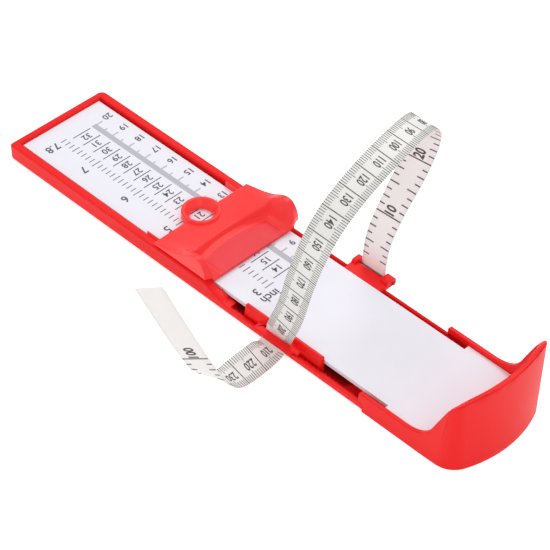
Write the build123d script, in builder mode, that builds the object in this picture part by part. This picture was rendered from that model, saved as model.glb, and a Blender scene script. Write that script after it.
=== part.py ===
"""Foot measuring gauge: a long tray with a printed scale plate, a toe slider that rides on its
rims, a heel cup, and a carriage in the side channels that holds a girth tape.

Frame: millimetres, +X towards the heel, +Y to the anchored end of the tape, +Z up. The origin is on
the resting face, half way along the tray and heel cup, on the centre line.
"""
from math import radians, tan
import os

from build123d import *

# ---------------------------------------------------------------- driving dimensions (mm)
half_length = 126.0         # tray and heel cup together are twice this long
half_width = 25.5           # outer faces of the rims and rails
floor = 1.5                 # tray floor thickness
run_gap = 0.3               # running gap between moving pieces
seat_gap = 0.15             # gap between fixed pieces that plug together
cut_over = 1.0              # cutting tools run past the faces by this much

# scale plate
plate_top = 6.7             # printed face above the resting face
plate_thick = 1.8
channel_wide = 3.2          # side channels between the plate and the low rails
plate_wide_long = 41.2      # length of the wide part, back from the heel end

# toe frame
rim_top = 8.5
rim_wide = 3.5              # side rims of the toe frame
toe_rim = 2.8               # rim across the toe end
toe_corner_near = 1.2       # plan radii of the two toe corners
toe_corner_far = 3.0
rim_end_x = -10.0           # the full rims end here and the low rails go on
groove_deep = 1.5           # groove in each rim's inner face for the slider's feet
groove_low = 3.4
groove_high = 5.2
groove_inset = 5.0          # from the tray's toe end to where the grooves start
near_groove_end_x = -7.5    # the near groove ends here
fall_fill_x = -3.0          # the near rim's fall fills the channel from here
fall_end_x = 4.8            # and has come down to the rail here

# low rails, ribs below the plate, detent rack
rail_top = 4.0
rail_wide = 1.5
rib_wide = 1.5
rib_step = 16.0             # distance between the three ribs
rib_toe_end_x = 2.0         # the ribs leave a gap where the carriage's bar passes
rib_heel_long = 10.0
rack_pitch = 2.0
rack_high = 0.7
rack_start_x = 8.0
rack_short = 5.0            # the rack ends this far short of the tray's end

# heel cup
cup_long = 51.7
cup_high = 35.0
cup_wall = 2.0
cup_wall_high = 2.4         # the wall is this thick at the top
cup_lap = 1.7               # the cup's front edge sits over the rails by this much
cup_lean = 0.7              # the back wall leans in by this much at the top
cup_taper = 0.7             # and so does each side wall
cup_bow_low = 7.0           # how far the rounded end bows out at the resting face
cup_bow_high = 4.3          # and at the top
cup_corner_low = 10.0
cup_corner_high = 4.5
cup_rise_back = 29.0        # the side walls start to rise this far from the heel end
cup_rise = (                # they pass these on the way to the full height: distance, height
    (25.0, 9.0), (20.5, 11.0), (17.3, 14.3), (14.4, 19.8), (11.1, 26.4), (8.7, 30.8),
    (6.7, 33.2), (4.8, 34.4), (3.0, 34.9),
)
cup_ledge_wide = 2.2        # ledge inside the cup that carries the plate
tenon_inset = 7.5           # the tray's tenon below the cup, narrower on each side by this
tenon_long = 28.0

# toe slider
slider_front_x = -38.4
slider_long = 31.1
slider_over = 0.5           # each side stands out past the rim by this much
slider_lift = 0.4           # its underside above the plate's printed face
slider_plate = 1.3          # clear plate that the toes stand over
slider_front_high = 9.8     # top of the front edge
slider_bevel = 0.6          # small bevel at the heel edge
toe_wall_back = 14.7        # from the front edge to the toe wall's crest
toe_wall_lean = 0.4
crest_mid = 10.6            # height of the toe wall's crest on the centre line
crest_side = 13.6           # and near the wings
crest_side_back = 3.5       # the crest lies this much nearer the heel near the wings
ramp_share = 0.55           # the front ramp's knee, as a share of its run
ramp_rise = 0.3             # and of its rise
wing_top = 18.0
wing_start_back = 22.4      # the wings' level top starts this far from the front edge
wing_end_back = 27.4
wing_fall = 1.8             # the level top ends this much higher than the heel edge
wing_foot_in = 6.2          # foot of each wing's inner face, in from the rim's outer face
wing_top_in = 2.9           # and its top
ring_y = 1.0
ring_radius = 8.2
ring_top = 11.2
ring_hole = 4.7
ring_mouth = 6.7            # radius of the flared mouth at its widest
ring_flare = 2.6            # height of the flare's cone
slider_neck = 0.6
foot_reach = 1.2            # how far each foot goes into its groove
foot_ahead = 7.2            # the feet start this far ahead of the front edge
foot_short = 4.7            # and end this far short of the heel edge

# tape carriage, all placed from the tape's middle
tape_x = 30.1
tape_wide = 12.5
tape_thick = 0.4
clip_toe = 18.6             # reach of the near clip towards the toe
clip_heel = 22.4            # and towards the heel
clip_thick = 1.3
clip_top = 8.9
notch_half = 6.8            # half length of the openings that the tape passes
bridge_toe = 9.8
bridge_heel = 12.2
bridge_gap = 0.9            # room for the tape between rail and bridge
bridge_thick = 1.2
bridge_edge = 0.6           # rounded outer edge
lip_gap = 1.0               # between the rail's outer face and the lip
lip_thick = 0.7
lip_low = 4.2
lip_short = 2.0             # beyond the rail, the bridge ends this much sooner
slot_wide = 1.2             # tape slot in the bridge
slot_in = 0.4               # from the rail's inner face to the slot's middle
bar_half = 8.3
bar_gap = 0.6               # between the bar and the plate above it
loop_toe = 8.8
loop_heel = 10.5
loop_thick = 1.9
loop_web = 2.1              # width of the web beyond the rail
loop_prong = 3.0            # the prongs stand out from the web by this much
loop_corner = 2.6
pin_radius = 0.6
pin_back = 1.6              # from the prongs' ends to the pin's centre
pin_over = 0.7              # the pin stands out past the prong at its heel end
ear_in = 2.1                # each ear is this much narrower than the loop, at its inner side
ear_high = 1.6              # ears beside the tape, above the loop's top
ear_round = 1.5
pawl_long = 9.0
pawl_thick = 0.8
pawl_high = 3.0
pawl_drop = 1.2             # below the bridge's top

# measuring tape
corner_share = 0.45         # how much of each run of its route a corner's arc may take
guide_away = 200.0

# ---------------------------------------------------------------- worked-out places
toe_x = -half_length
heel_x = half_length
plate_low = plate_top - plate_thick
rim_inner = half_width - rim_wide
rail_inner = half_width - rail_wide
plate_half = rail_inner - channel_wide
channel_in = plate_half + run_gap
tenon_half = half_width - tenon_inset
slider_half = half_width + slider_over
wing_foot_half = half_width - wing_foot_in
wing_top_half = half_width - wing_top_in
slot_y = -(rail_inner - slot_in)
ride_z = rim_top + run_gap
channel_low = floor + run_gap
cup_start_x = heel_x - cup_long
tray_end_x = cup_start_x + cup_lap
cup_inner_half = half_width - cup_wall
ledge_half = cup_inner_half - cup_ledge_wide
cup_high_x = heel_x - cup_lean
cup_high_half = half_width - cup_taper
SIDES = (-1, 1)


def finish(part, label):
    """Label a finished piece and write its STEP file."""
    part.label = label
    export_step(part, f"parts/{label}.step")


def box(x0, x1, y0, y1, z0, z1, mode=Mode.ADD):
    """A block between two corners, in the part that is being built."""
    with Locations(((x0 + x1) / 2, (y0 + y1) / 2, (z0 + z1) / 2)):
        Box(abs(x1 - x0), abs(y1 - y0), abs(z1 - z0), mode=mode)


def heel_plan(x0, x_tip, bow, half, corner):
    """Plan of the heel end: straight sides, a bowed end and two rounded corners."""
    with BuildSketch() as plan:
        with BuildLine():
            Line((x0, -half), (x_tip - bow, -half))
            ThreePointArc((x_tip - bow, -half), (x_tip, 0), (x_tip - bow, half))
            Polyline((x_tip - bow, half), (x0, half), (x0, -half))
        make_face()
        fillet(plan.vertices().group_by(Axis.X)[-1], corner)
    return plan.sketch


os.makedirs("parts", exist_ok=True)

# ---------------------------------------------------------------- base tray
with BuildPart() as base_tray:
    box(toe_x, tray_end_x, -half_width, half_width, 0, floor)
    box(toe_x, toe_x + toe_rim, -half_width, half_width, 0, rim_top)
    for side in SIDES:
        box(toe_x, rim_end_x, side * rim_inner, side * half_width, 0, rim_top)
        box(rim_end_x, tray_end_x, side * rail_inner, side * half_width, 0, rail_top)
    toe_edges = base_tray.edges().filter_by(Axis.Z).group_by(Axis.X)[0].sort_by(Axis.Y)
    fillet(toe_edges[0], toe_corner_near)
    toe_edges = base_tray.edges().filter_by(Axis.Z).group_by(Axis.X)[0].sort_by(Axis.Y)
    fillet(toe_edges[-1], toe_corner_far)
    # the near rim falls to its rail and fills the channel there
    with BuildSketch(Plane.XZ.offset(channel_in)):
        with BuildLine():
            Polyline((rim_end_x, rim_top), (rim_end_x - cut_over, rim_top),
                     (rim_end_x - cut_over, 0), (fall_end_x, 0), (fall_end_x, rail_top))
            Spline((fall_end_x, rail_top), (rim_end_x, rim_top),
                   tangents=((-1, 0.1), (-1, 0.25)))
        make_face()
    extrude(amount=half_width - channel_in)
    box(rim_end_x - 2 * cut_over, fall_fill_x, -channel_in + cut_over, -rim_inner,
        floor, rim_top + cut_over, mode=Mode.SUBTRACT)
    for side, groove_end_x in ((-1, near_groove_end_x), (1, rim_end_x)):
        box(toe_x + groove_inset, groove_end_x, side * rim_inner,
            side * (rim_inner + groove_deep), groove_low, groove_high, mode=Mode.SUBTRACT)
    # ribs that carry the plate
    for rib_y in (-rib_step, 0, rib_step):
        box(toe_x + toe_rim, rib_toe_end_x, rib_y - rib_wide / 2, rib_y + rib_wide / 2,
            0, plate_low)
        box(tray_end_x - rib_heel_long, tray_end_x, rib_y - rib_wide / 2, rib_y + rib_wide / 2,
            0, plate_low)
    # detent rack on the near rail's inner face
    rack_long = tray_end_x - rack_short - rack_start_x
    for step in range(int(rack_long / rack_pitch) + 1):
        with BuildSketch(Plane.XY.offset(floor)):
            with Locations((rack_start_x + step * rack_pitch, -rail_inner)):
                Polygon((-rack_pitch / 4, 0), (rack_pitch / 4, 0), (0, rack_high), align=None)
        extrude(amount=rail_top - floor)
    # tenon that the heel cup sits over
    box(tray_end_x, tray_end_x + tenon_long, -tenon_half, tenon_half, 0, floor)
finish(base_tray.part, "base_tray")

# ---------------------------------------------------------------- heel cup
cup_open_x = cup_start_x - cut_over
rise_points = [(heel_x - back, height) for back, height in cup_rise]
with BuildPart() as heel_cup:
    with BuildSketch():
        add(heel_plan(cup_start_x, heel_x, cup_bow_low, half_width, cup_corner_low))
    with BuildSketch(Plane.XY.offset(cup_high + cut_over)):
        add(heel_plan(cup_start_x, cup_high_x, cup_bow_high, cup_high_half, cup_corner_high))
    loft(ruled=True)
    # the hollow that takes the heel, one wall inside the outer shape
    with BuildSketch(Plane.XY.offset(plate_low)):
        add(heel_plan(cup_open_x, heel_x - cup_wall, cup_bow_low, cup_inner_half,
                      cup_corner_low - cup_wall))
    with BuildSketch(Plane.XY.offset(cup_high + cut_over)):
        add(heel_plan(cup_open_x, cup_high_x - cup_wall_high, cup_bow_high,
                      cup_high_half - cup_wall_high, cup_corner_high - cup_wall_high))
    loft(ruled=True, mode=Mode.SUBTRACT)
    # low sides that rise in a hollow curve to the back wall
    with BuildSketch(Plane.XZ.offset(-half_width - cut_over)):
        with BuildLine():
            Line((cup_open_x, rim_top), (heel_x - cup_rise_back, rim_top))
            Spline((heel_x - cup_rise_back, rim_top), *rise_points,
                   (heel_x + cut_over, cup_high), tangents=((1, 0), (1, 0.03)))
            Polyline((heel_x + cut_over, cup_high), (heel_x + cut_over, cup_high + 2 * cut_over),
                     (cup_open_x, cup_high + 2 * cut_over), (cup_open_x, rim_top))
        make_face()
    extrude(amount=2 * (half_width + cut_over), mode=Mode.SUBTRACT)
    # room below the plate, with a ledge each side of its wide part
    box(cup_open_x, heel_x - cup_bow_low - cup_corner_low, -ledge_half, ledge_half, floor,
        plate_low + cut_over, mode=Mode.SUBTRACT)
    box(cup_open_x, heel_x - plate_wide_long, -cup_inner_half, cup_inner_half, floor,
        plate_low + cut_over, mode=Mode.SUBTRACT)
    # seats for the tray's end and its tenon
    box(cup_open_x, tray_end_x + seat_gap, -half_width - cut_over, half_width + cut_over,
        -cut_over, rail_top + seat_gap, mode=Mode.SUBTRACT)
    box(cup_open_x, tray_end_x + tenon_long + seat_gap, -tenon_half - seat_gap,
        tenon_half + seat_gap, -cut_over, floor + cut_over, mode=Mode.SUBTRACT)
finish(heel_cup.part, "heel_cup")

# ---------------------------------------------------------------- scale plate
plate_start_x = toe_x + toe_rim + run_gap
plate_step_x = heel_x - plate_wide_long + run_gap
with BuildPart() as scale_plate:
    with BuildSketch(Plane.XY.offset(plate_low)):
        add(heel_plan(plate_step_x, heel_x - cup_wall - run_gap, cup_bow_low,
                      cup_inner_half - run_gap, cup_corner_low - cup_wall))
        with Locations(((plate_start_x + plate_step_x) / 2, 0)):
            Rectangle(plate_step_x - plate_start_x, 2 * plate_half)
    extrude(amount=plate_thick)
finish(scale_plate.part, "scale_plate")

# ---------------------------------------------------------------- toe slider
slider_heel_x = slider_front_x + slider_long
slider_low = plate_top + slider_lift
slider_floor = slider_low + slider_plate
toe_wall_x = slider_front_x + toe_wall_back
# lengthwise profiles: the crest's place and height, the peak's place and height, the heel height
wing = (slider_front_x + wing_start_back, wing_top, slider_front_x + wing_end_back, wing_top,
        wing_top - wing_fall)
wall_side_x = toe_wall_x + crest_side_back
wall_side = (wall_side_x, crest_side, wall_side_x + toe_wall_lean, slider_floor, slider_floor)
wall_mid = (toe_wall_x, crest_mid, toe_wall_x + toe_wall_lean, slider_floor, slider_floor)
slider_sections = (
    (-slider_half, *wing), (-wing_top_half, *wing), (-wing_foot_half, *wall_side),
    (-wing_foot_half / 2, *wall_mid), (wing_foot_half / 2, *wall_mid),
    (wing_foot_half, *wall_side), (wing_top_half, *wing), (slider_half, *wing),
)
with BuildPart() as toe_slider:
    for across, crest_x, crest, peak_x, peak, heel_top in slider_sections:
        ramp_x = slider_front_x + ramp_share * (crest_x - slider_front_x)
        ramp = slider_front_high + ramp_rise * (crest - slider_front_high)
        with BuildSketch(Plane.XZ.offset(-across)):
            Polygon((slider_front_x, slider_low), (slider_front_x, slider_front_high),
                    (ramp_x, ramp), (crest_x, crest), (peak_x, peak),
                    (slider_heel_x - 2 * slider_bevel, heel_top),
                    (slider_heel_x, heel_top - slider_bevel), (slider_heel_x, slider_low),
                    align=None)
    loft(ruled=True)
    # its two sides ride above the rims
    for side in SIDES:
        box(slider_front_x - cut_over, slider_heel_x + cut_over, side * (rim_inner - run_gap),
            side * (slider_half + cut_over), slider_low - cut_over, ride_z, mode=Mode.SUBTRACT)
    # reading ring: a boss with a flared hole, its centre on the front edge
    with BuildSketch(Plane.XY.offset(slider_low)):
        with Locations((slider_front_x, ring_y)):
            Circle(ring_radius)
    extrude(amount=ring_top - slider_low)
    with Locations((slider_front_x, ring_y, slider_low)):
        Cylinder(ring_hole, 3 * ring_top, mode=Mode.SUBTRACT)
    with Locations((slider_front_x, ring_y, ring_top - ring_flare / 2)):
        Cone(ring_hole, ring_mouth, ring_flare, mode=Mode.SUBTRACT)
    # necks go down between plate and rims to feet in the rims' grooves
    neck_in = (plate_half + rim_inner - slider_neck) / 2
    for side in SIDES:
        box(slider_front_x - foot_ahead, slider_heel_x - foot_short, side * neck_in,
            side * (neck_in + slider_neck), groove_low + run_gap, ride_z)
        box(slider_front_x - foot_ahead, slider_heel_x - foot_short, side * neck_in,
            side * (rim_inner + foot_reach), groove_low + run_gap, groove_high - run_gap)
finish(toe_slider.part, "toe_slider")

# ---------------------------------------------------------------- tape carriage
clip_out = channel_in + clip_thick
clip_toe_x = tape_x - clip_toe
lip_in = half_width + lip_gap
lip_out = lip_in + lip_thick
lip_heel = bridge_heel - lip_short
bridge_low = rail_top + bridge_gap
bridge_top = bridge_low + bridge_thick
loop_low = rail_top + run_gap
loop_top = loop_low + loop_thick
web_out = half_width + loop_web
prong_out = web_out + loop_prong
pin_y = prong_out - pin_back
pin_z = (loop_low + loop_top) / 2
pin_from_x = tape_x - loop_toe
pin_long = loop_toe + loop_heel + pin_over
with BuildPart() as tape_carriage:
    # upright clip in the near channel, open where the tape comes down
    box(clip_toe_x, tape_x + clip_heel, -clip_out, -channel_in, channel_low, clip_top)
    pawl_top = bridge_top - pawl_drop
    with BuildSketch(Plane.YZ.offset(clip_toe_x)):
        Polygon((-clip_out, channel_low), (-clip_out - pawl_thick, channel_low),
                (-clip_out - pawl_thick, pawl_top), (-clip_out, clip_top), align=None)
    extrude(amount=clip_toe - notch_half)
    box(tape_x - notch_half, tape_x + notch_half, -clip_out - cut_over, -channel_in + cut_over,
        bridge_top, clip_top + cut_over, mode=Mode.SUBTRACT)
    # bridge over the rail with its outer lip and the tape slot
    box(tape_x - bridge_toe, tape_x + bridge_heel, -half_width, -channel_in, bridge_low,
        bridge_top)
    box(tape_x - bridge_toe, tape_x + lip_heel, -lip_out, -half_width, bridge_low, bridge_top)
    box(tape_x - bridge_toe, tape_x + lip_heel, -lip_out, -lip_in, lip_low, bridge_top)
    box(tape_x - notch_half, tape_x + notch_half, slot_y - slot_wide / 2,
        slot_y + slot_wide / 2, bridge_low - cut_over, bridge_top + cut_over,
        mode=Mode.SUBTRACT)
    outer_edges = tape_carriage.edges().filter_by(Axis.X).group_by(Axis.Y)[0]
    fillet(outer_edges.sort_by(Axis.Z)[-1], bridge_edge)
    # bar below the plate, from the near clip to the far loop
    box(tape_x - bar_half, tape_x + bar_half, -clip_out, clip_out, channel_low,
        plate_low - bar_gap)
    box(tape_x - bar_half, tape_x + bar_half, channel_in, clip_out, channel_low, loop_top)
    # far loop: a web over the rail with two prongs for the pin
    with BuildSketch(Plane.XY.offset(loop_low)):
        with Locations((tape_x + (loop_heel - loop_toe) / 2, (channel_in + prong_out) / 2)):
            Rectangle(loop_toe + loop_heel, prong_out - channel_in)
        fillet(vertices().group_by(Axis.Y)[-1], loop_corner)
        with Locations((tape_x, web_out + prong_out)):
            Rectangle(2 * notch_half, 2 * prong_out, mode=Mode.SUBTRACT)
    extrude(amount=loop_thick)
    # an ear on each prong beside the tape
    for ear_x, ear_wide in ((pin_from_x, loop_toe - notch_half),
                            (tape_x + notch_half, loop_heel - notch_half)):
        with BuildSketch(Plane.YZ.offset(ear_x)):
            with Locations(((web_out - ear_in + prong_out) / 2, (loop_low + loop_top + ear_high) / 2)):
                Rectangle(prong_out - web_out + ear_in, loop_thick + ear_high)
            fillet(vertices().group_by(Axis.Y)[-1], ear_round)
        extrude(amount=ear_wide)
    with BuildSketch(Plane.YZ.offset(pin_from_x)):
        with Locations((pin_y, pin_z)):
            Circle(pin_radius)
    extrude(amount=pin_long, mode=Mode.SUBTRACT)
    # spring pawl beside the rack
    box(tape_x + bridge_heel - cut_over, tape_x + bridge_heel + pawl_long,
        -clip_out - pawl_thick, -clip_out, pawl_top - pawl_high, pawl_top)
finish(tape_carriage.part, "tape_carriage")

# ---------------------------------------------------------------- tape pin
with BuildPart() as tape_pin:
    with BuildSketch(Plane.YZ.offset(pin_from_x)):
        with Locations((pin_y, pin_z)):
            Circle(pin_radius)
    extrude(amount=pin_long)
finish(tape_pin.part, "tape_pin")

# ---------------------------------------------------------------- measuring tape
# route of the tape's middle line: up from the pin, over the arch, down through the bridge's slot,
# over the rail, under the lip, along the surface that the gauge rests on, and up in a curl
tape_route = (
    (30.1, 29.0, 5.85), (30.1, 29.3, 13.0), (30.1, 31.8, 22.7), (30.0, 39.8, 33.9),
    (30.4, 48.9, 45.8), (32.1, 53.2, 58.2), (35.1, 50.7, 70.6), (39.0, 42.0, 78.6),
    (42.2, 27.2, 80.1), (44.7, 9.4, 77.9), (46.6, -6.6, 73.5), (46.9, -16.9, 66.2),
    (44.4, -21.0, 54.1), (40.9, -23.2, 39.2), (37.9, -24.1, 24.7), (34.3, -25.0, 14.5),
    (31.6, -24.2, 9.0), (30.4, -23.6, 6.8), (30.1, -23.6, 4.45), (30.1, -26.0, 4.45),
    (30.1, -26.0, 2.6), (30.3, -27.6, 1.9), (30.9, -31.5, 2.9), (32.1, -37.5, 4.0),
    (32.2, -45.5, 3.3), (32.8, -53.5, 3.6), (30.6, -60.3, 9.5), (26.8, -63.9, 21.0),
    (21.0, -68.8, 37.0), (14.9, -73.4, 53.6),
)


def corner_radii(points):
    """Radius for each corner: its share of the shorter run over the tangent of half its turn."""
    found = []
    for before, here, after in zip(points, points[1:], points[2:]):
        come = Vector(*here) - Vector(*before)
        go = Vector(*after) - Vector(*here)
        half_turn = radians(come.get_angle(go)) / 2
        found.append(corner_share * min(come.length, go.length) / tan(half_turn))
    return found


radii = corner_radii(tape_route)
with BuildPart() as measuring_tape:
    with BuildLine() as tape_line:
        FilletPolyline(*tape_route, radius=radii)
    tape_path = tape_line.wire()
    # a second line beside the path keeps the band's width across the gauge
    tape_guide = tape_path.moved(Location((guide_away, 0, 0)))
    with BuildSketch(Plane(origin=tape_path @ 0, z_dir=tape_path % 0, x_dir=(1, 0, 0))):
        Rectangle(tape_wide, tape_thick)
    sweep(path=tape_path, binormal=tape_guide)
print("tape radii", [round(radius, 1) for radius in radii])
print("tape length", round(tape_path.length, 1), "volume", round(measuring_tape.part.volume, 1),
      "section times length", round(tape_path.length * tape_wide * tape_thick, 1))
finish(measuring_tape.part, "measuring_tape")
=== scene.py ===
"""Foot measuring gauge: the visible pieces and finishes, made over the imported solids."""
import math

import bmesh
import bpy
import numpy as np
from mathutils import Matrix


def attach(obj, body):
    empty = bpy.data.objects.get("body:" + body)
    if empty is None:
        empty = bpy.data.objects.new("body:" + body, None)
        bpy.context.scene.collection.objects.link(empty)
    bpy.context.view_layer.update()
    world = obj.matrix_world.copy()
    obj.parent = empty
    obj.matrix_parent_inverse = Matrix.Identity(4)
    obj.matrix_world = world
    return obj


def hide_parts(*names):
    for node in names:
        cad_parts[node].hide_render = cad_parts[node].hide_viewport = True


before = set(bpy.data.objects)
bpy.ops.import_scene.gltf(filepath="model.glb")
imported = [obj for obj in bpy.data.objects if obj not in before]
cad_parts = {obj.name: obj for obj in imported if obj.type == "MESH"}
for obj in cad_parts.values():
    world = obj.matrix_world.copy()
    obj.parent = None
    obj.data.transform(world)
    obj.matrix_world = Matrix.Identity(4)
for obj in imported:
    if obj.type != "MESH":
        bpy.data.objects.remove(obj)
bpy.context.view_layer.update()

bl_info = {
    "name": "Foot Measuring Gauge",
    "version": (1, 0, 0),
    "blender": (4, 5, 0),
    "location": "3D View > Sidebar > Foot Gauge",
    "description": "Builds the tray, scale plate, heel cup, toe slider, carriage and girth tape",
    "category": "Mesh",
}

MM = 0.001

# Middle line of the tape, in metres: up from the pin, over the arch, down through the bridge's slot,
# over the rail, under the lip, outwards close to the floor, and up in a curl.
TAPE_ROUTE = (
    (0.0301, 0.0290, 0.00585), (0.0301, 0.0293, 0.0130), (0.0301, 0.0318, 0.0227),
    (0.0300, 0.0398, 0.0339), (0.0304, 0.0489, 0.0458), (0.0321, 0.0532, 0.0582),
    (0.0351, 0.0507, 0.0706), (0.0390, 0.0420, 0.0786), (0.0422, 0.0272, 0.0801),
    (0.0447, 0.0094, 0.0779), (0.0466, -0.0066, 0.0735), (0.0469, -0.0169, 0.0662),
    (0.0444, -0.0210, 0.0541), (0.0409, -0.0232, 0.0392), (0.0379, -0.0241, 0.0247),
    (0.0343, -0.0250, 0.0145), (0.0316, -0.0242, 0.0090), (0.0304, -0.0236, 0.0068),
    (0.0301, -0.0236, 0.00445), (0.0301, -0.0260, 0.00445), (0.0301, -0.0260, 0.0026),
    (0.0303, -0.0276, 0.0019), (0.0309, -0.0315, 0.0029), (0.0321, -0.0375, 0.0040),
    (0.0322, -0.0455, 0.0037), (0.0329, -0.0530, 0.0046), (0.0308, -0.0598, 0.0102),
    (0.0268, -0.0639, 0.0210), (0.0210, -0.0688, 0.0370), (0.0149, -0.0734, 0.0536),
)
# How the tape's width lies: distance along the tape in millimetres, and the width's direction.
TAPE_TURN = (
    (0.0, (1.0, 0.0, 0.0)), (15.0, (1.0, 0.04, -0.01)), (30.0, (0.99, 0.10, -0.08)),
    (45.0, (0.92, 0.31, -0.25)), (60.0, (0.89, 0.41, -0.18)), (75.0, (0.95, 0.21, -0.23)),
    (90.0, (0.96, 0.19, -0.19)), (105.0, (0.95, 0.17, -0.26)), (120.0, (0.92, 0.19, -0.33)),
    (135.0, (0.93, 0.22, -0.30)), (150.0, (0.96, 0.15, -0.24)), (165.0, (0.96, 0.08, -0.26)),
    (180.0, (0.94, 0.09, -0.31)), (196.0, (0.91, 0.11, -0.41)), (205.0, (0.93, 0.03, -0.37)),
    (209.2, (0.97, 0.0, -0.25)), (211.0, (1.0, 0.0, 0.0)), (215.5, (1.0, 0.0, 0.0)),
    (219.0, (0.95, -0.03, -0.28)), (224.0, (0.87, -0.09, -0.48)), (230.0, (0.87, -0.09, -0.47)),
    (236.0, (0.94, -0.02, -0.27)), (242.0, (0.97, 0.09, 0.0)), (248.0, (0.92, 0.20, 0.25)),
    (255.0, (0.87, 0.29, 0.38)), (271.0, (0.84, 0.34, 0.40)), (301.0, (0.84, 0.35, 0.41)),
)


def linear(code):
    """Linear colour of an sRGB hex code such as #FF4646: each channel over 12.92 when dark, and
    otherwise ((channel + 0.055) / 1.055) to the power 2.4."""
    channels = [int(code[at:at + 2], 16) / 255 for at in (1, 3, 5)]
    return tuple(value / 12.92 if value <= 0.04045 else ((value + 0.055) / 1.055) ** 2.4
                 for value in channels)


# ---------------------------------------------------------------- sizes and colours
class GaugeSizes(bpy.types.PropertyGroup):
    """Sizes of the gauge's finish."""
    rim_round: bpy.props.FloatProperty(
        name="Rim rounding", description="Radius along the top of the tray's rims",
        default=0.9 * MM, min=0.1 * MM, max=1.2 * MM, unit="LENGTH", precision=5)
    edge_round: bpy.props.FloatProperty(
        name="Edge rounding", description="Radius of the smaller moulded edges",
        default=0.25 * MM, min=0.05 * MM, max=0.6 * MM, unit="LENGTH", precision=5)
    digit_high: bpy.props.FloatProperty(
        name="Plate digits", description="Height of the digits printed on the scale plate",
        default=3.3 * MM, min=1 * MM, max=6 * MM, unit="LENGTH", precision=5)
    tape_digit_high: bpy.props.FloatProperty(
        name="Tape digits", description="Height of the digits on the tape's front",
        default=3.6 * MM, min=1 * MM, max=6 * MM, unit="LENGTH", precision=5)
    ink_thick: bpy.props.FloatProperty(
        name="Ink", description="Thickness of the printed marks",
        default=0.06 * MM, min=0.02 * MM, max=0.3 * MM, unit="LENGTH", precision=5)


class GaugeColours(bpy.types.PropertyGroup):
    """Colours of the gauge's materials."""
    red: bpy.props.FloatVectorProperty(
        name="Red", description="Moulded plastic of the tray, heel cup and carriage",
        subtype="COLOR", min=0, max=1, default=linear("#FF1E1F"))
    clear_red: bpy.props.FloatVectorProperty(
        name="Clear red", description="Translucent plastic of the toe slider",
        subtype="COLOR", min=0, max=1, default=linear("#FB2626"))
    thin_red: bpy.props.FloatVectorProperty(
        name="Thin clear red", description="The toe slider's thin floor, lit from below",
        subtype="COLOR", min=0, max=1, default=linear("#FF2C38"))
    card: bpy.props.FloatVectorProperty(
        name="Scale plate", description="Face of the printed scale plate",
        subtype="COLOR", min=0, max=1, default=linear("#F6F6FF"))
    plate_ink: bpy.props.FloatVectorProperty(
        name="Plate ink", description="Ticks and digits of the scale plate",
        subtype="COLOR", min=0, max=1, default=linear("#62606A"))
    plate_bar: bpy.props.FloatVectorProperty(
        name="Plate bar", description="Grey bar behind the centimetre ticks",
        subtype="COLOR", min=0, max=1, default=linear("#C9C8D2"))
    tape_front: bpy.props.FloatVectorProperty(
        name="Tape front", description="Millimetre side of the tape",
        subtype="COLOR", min=0, max=1, default=linear("#F8F7F4"))
    tape_back: bpy.props.FloatVectorProperty(
        name="Tape back", description="Inch side of the tape",
        subtype="COLOR", min=0, max=1, default=linear("#FEFAF8"))
    tape_ink: bpy.props.FloatVectorProperty(
        name="Tape ink", description="Marks on both sides of the tape",
        subtype="COLOR", min=0, max=1, default=linear("#5A5654"))
    steel: bpy.props.FloatVectorProperty(
        name="Pin", description="Steel of the tape's pin",
        subtype="COLOR", min=0, max=1, default=linear("#8A8785"))
    floor: bpy.props.FloatVectorProperty(
        name="Floor", description="Surface that the gauge stands on",
        subtype="COLOR", min=0, max=1, default=linear("#FDFDFD"))


# ---------------------------------------------------------------- materials
def add_node(tree, kind, inputs=None, **settings):
    """Adds a shader node. Settings go to the node, inputs to its sockets, each a socket or value."""
    made = tree.nodes.new(kind)
    for name, value in settings.items():
        setattr(made, name, value)
    for name, value in (inputs or {}).items():
        if isinstance(value, bpy.types.NodeSocket):
            tree.links.new(value, made.inputs[name])
        else:
            made.inputs[name].default_value = value
    return made


def start_material(name):
    """A new material with an empty node tree."""
    material = bpy.data.materials.new(name)
    material.use_nodes = True
    material.node_tree.nodes.clear()
    return material, material.node_tree


def close_material(tree, shader):
    """Joins a shader node to the material's output."""
    add_node(tree, "ShaderNodeOutputMaterial", {"Surface": shader.outputs[0]})


def opaque(colour):
    """A colour with full alpha."""
    return (*colour[:3], 1.0)


def shade(colour, share):
    """A colour made darker by a share."""
    return (*(channel * share for channel in colour[:3]), 1.0)


def uneven(tree, place, colour, darkest, scale, detail):
    """A colour that noise darkens here and there, down to a share of it."""
    cloud = add_node(tree, "ShaderNodeTexNoise", {"Vector": place, "Scale": scale, "Detail": detail})
    tone = add_node(tree, "ShaderNodeMix", {"Factor": cloud.outputs["Fac"],
                                            "A": shade(colour, darkest), "B": opaque(colour)},
                    data_type="RGBA")
    return tone.outputs["Result"]


def lifted_skin(tree, height, strength, depth):
    """Normals of a surface that a pattern lifts by up to a depth."""
    bump = add_node(tree, "ShaderNodeBump", {"Height": height, "Strength": strength,
                                             "Distance": depth})
    return bump.outputs["Normal"]


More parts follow.
